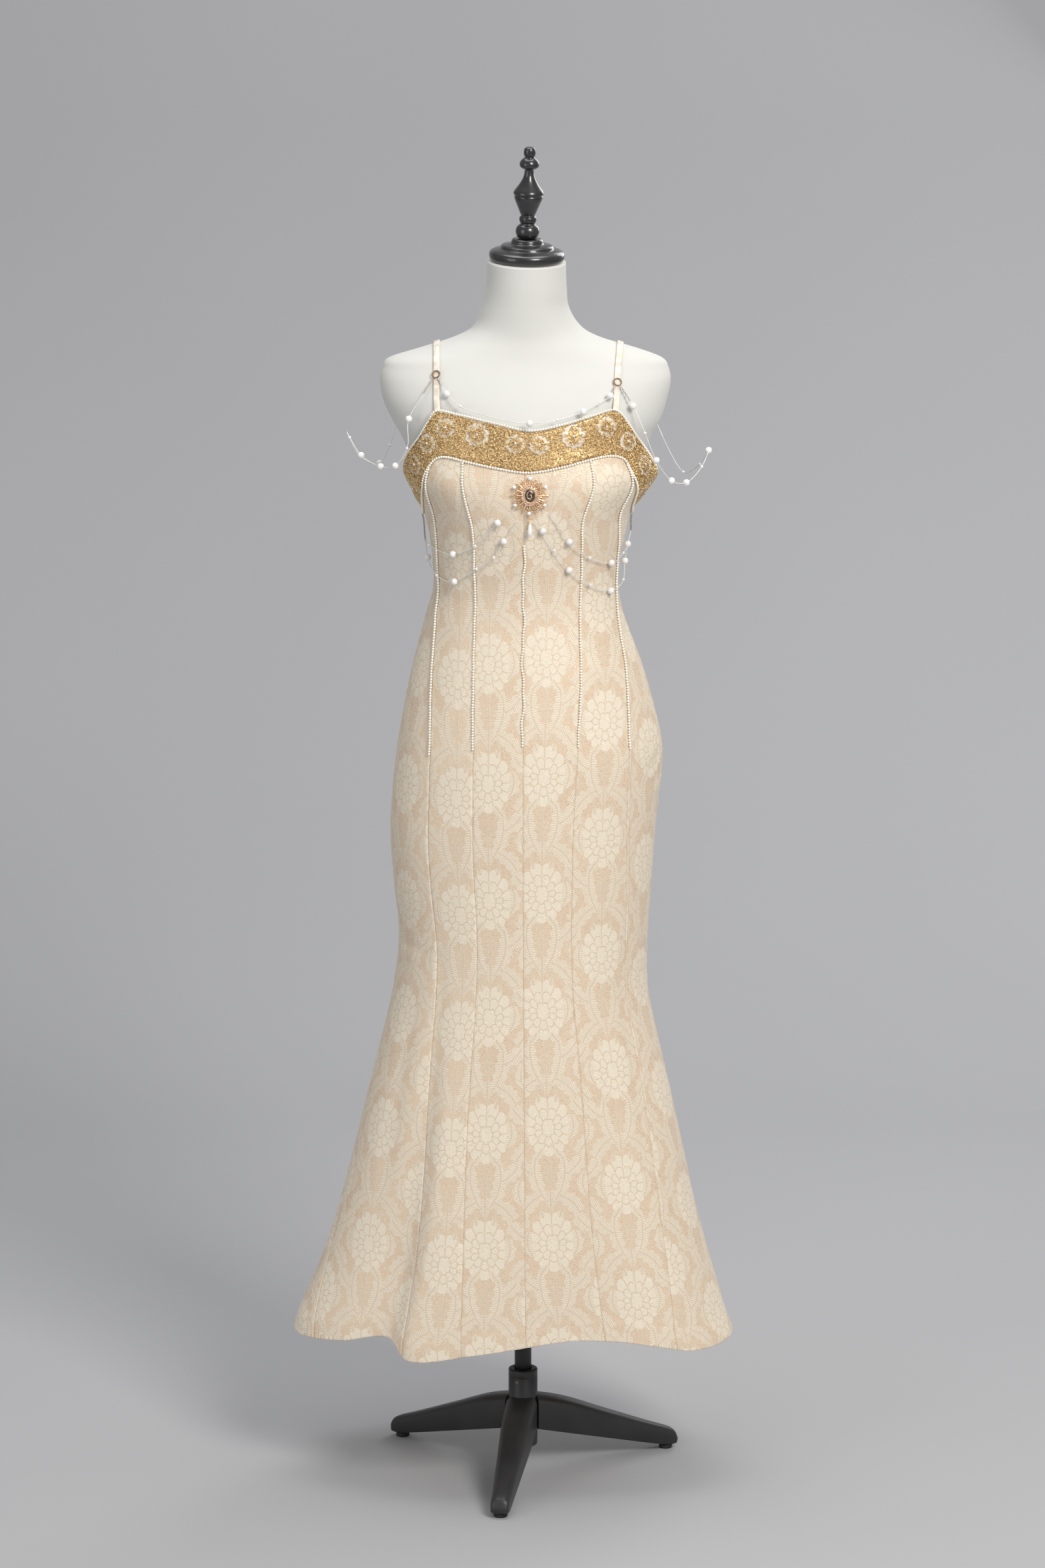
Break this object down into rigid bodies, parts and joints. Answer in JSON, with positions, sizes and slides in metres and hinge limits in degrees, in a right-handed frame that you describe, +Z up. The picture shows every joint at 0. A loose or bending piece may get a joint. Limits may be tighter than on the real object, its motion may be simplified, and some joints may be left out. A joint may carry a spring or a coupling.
{
  "type": "mermaid midi dress on a limbless dress form with a stand",
  "caption": "Fitted damask mermaid midi dress with a beaded sweetheart neckline and pearl swags, worn on a limbless dress form on a tripod stand.",
  "frame": {"origin": "on the floor, under the middle of the dress and its stand", "axes": "+Z up along the pole; the front of the dress faces -Y; its right side, as seen from the front, is +X"},
  "size_m": [0.5705, 0.4301, 1.7213],
  "materials": {
    "brocade": "woven damask in ivory on a warm peach ground with a slight metallic glitter",
    "gold_beadwork": "gold bugle and seed beads sewn close together on cloth",
    "pearl": "pearl beads sewn in strings",
    "pearl_drop": "polished pearl drop",
    "satin": "cream satin ribbon",
    "antique_metal": "antique finish",
    "gold_metal": "warm gold finish",
    "clear_cord": "clear cord with pearls",
    "form_cloth": "off-white jersey over a padded form",
    "black_lacquer": "turned wood in black lacquer",
    "black_stand": "black satin paint on metal",
    "rubber": "black rubber pads"
  },
  "bodies": {
    "stand": {"stand_hub": "black_stand", "leg_front": "black_stand", "leg_left": "black_stand", "leg_right": "black_stand", "foot_front": "rubber", "foot_left": "rubber", "foot_right": "rubber", "clamp_screw": "antique_metal"},
    "mast": {"pole": "black_stand"},
    "form": {"dress_form": "form_cloth", "neck_cap": "black_lacquer", "finial": "black_lacquer", "gore_side_left": "brocade", "gore_front_left_outer": "brocade", "gore_front_left": "brocade", "gore_front_right": "brocade", "gore_front_right_outer": "brocade", "gore_side_right": "brocade", "gore_back_right_outer": "brocade", "gore_back_right": "brocade", "gore_back_left": "brocade", "gore_back_left_outer": "brocade", "neckline_band": "gold_beadwork", "neckline_pearls": "pearl", "band_pearls": "pearl", "seam_pearls_left_outer": "pearl", "seam_pearls_left_inner": "pearl", "seam_pearls_centre": "pearl", "seam_pearls_right_inner": "pearl", "seam_pearls_right_outer": "pearl", "strap_left": "satin", "strap_right": "satin", "strap_ring_left": "antique_metal", "strap_ring_right": "antique_metal", "swag_chain_left": "antique_metal", "swag_chain_right": "antique_metal", "brooch_stone": "antique_metal", "zip_slider": "antique_metal", "brooch": "gold_metal", "drop_link": "gold_metal", "swag_arm_left": "clear_cord", "swag_arm_right": "clear_cord", "swag_chest": "clear_cord", "swag_waist_left_upper": "clear_cord", "swag_waist_left_lower": "clear_cord", "swag_waist_right_upper": "clear_cord", "swag_waist_right_lower": "clear_cord"},
    "drop": {"brooch_drop": "pearl_drop"},
    "zip_tab": {"zip_pull": "antique_metal"}
  },
  "joints": [
    {"name": "height", "type": "slide", "parent": "stand", "child": "mast", "axis": [0, 0, 1], "range_m": [0, 0.05]},
    {"name": "form_turn", "type": "hinge", "parent": "mast", "child": "form", "pos_m": [0.009, 0.004, 0.86], "axis": [0, 0, 1], "continuous": true},
    {"name": "drop_swing", "type": "hinge", "parent": "form", "child": "drop", "pos_m": [0.0175, -0.1132, 1.2642], "axis": [-1, 0, 0], "range_deg": [0, 60]},
    {"name": "zip_tab_lift", "type": "hinge", "parent": "form", "child": "zip_tab", "pos_m": [0.009, 0.1132, 1.283], "axis": [1, 0, 0], "range_deg": [0, 160]}
  ]
}
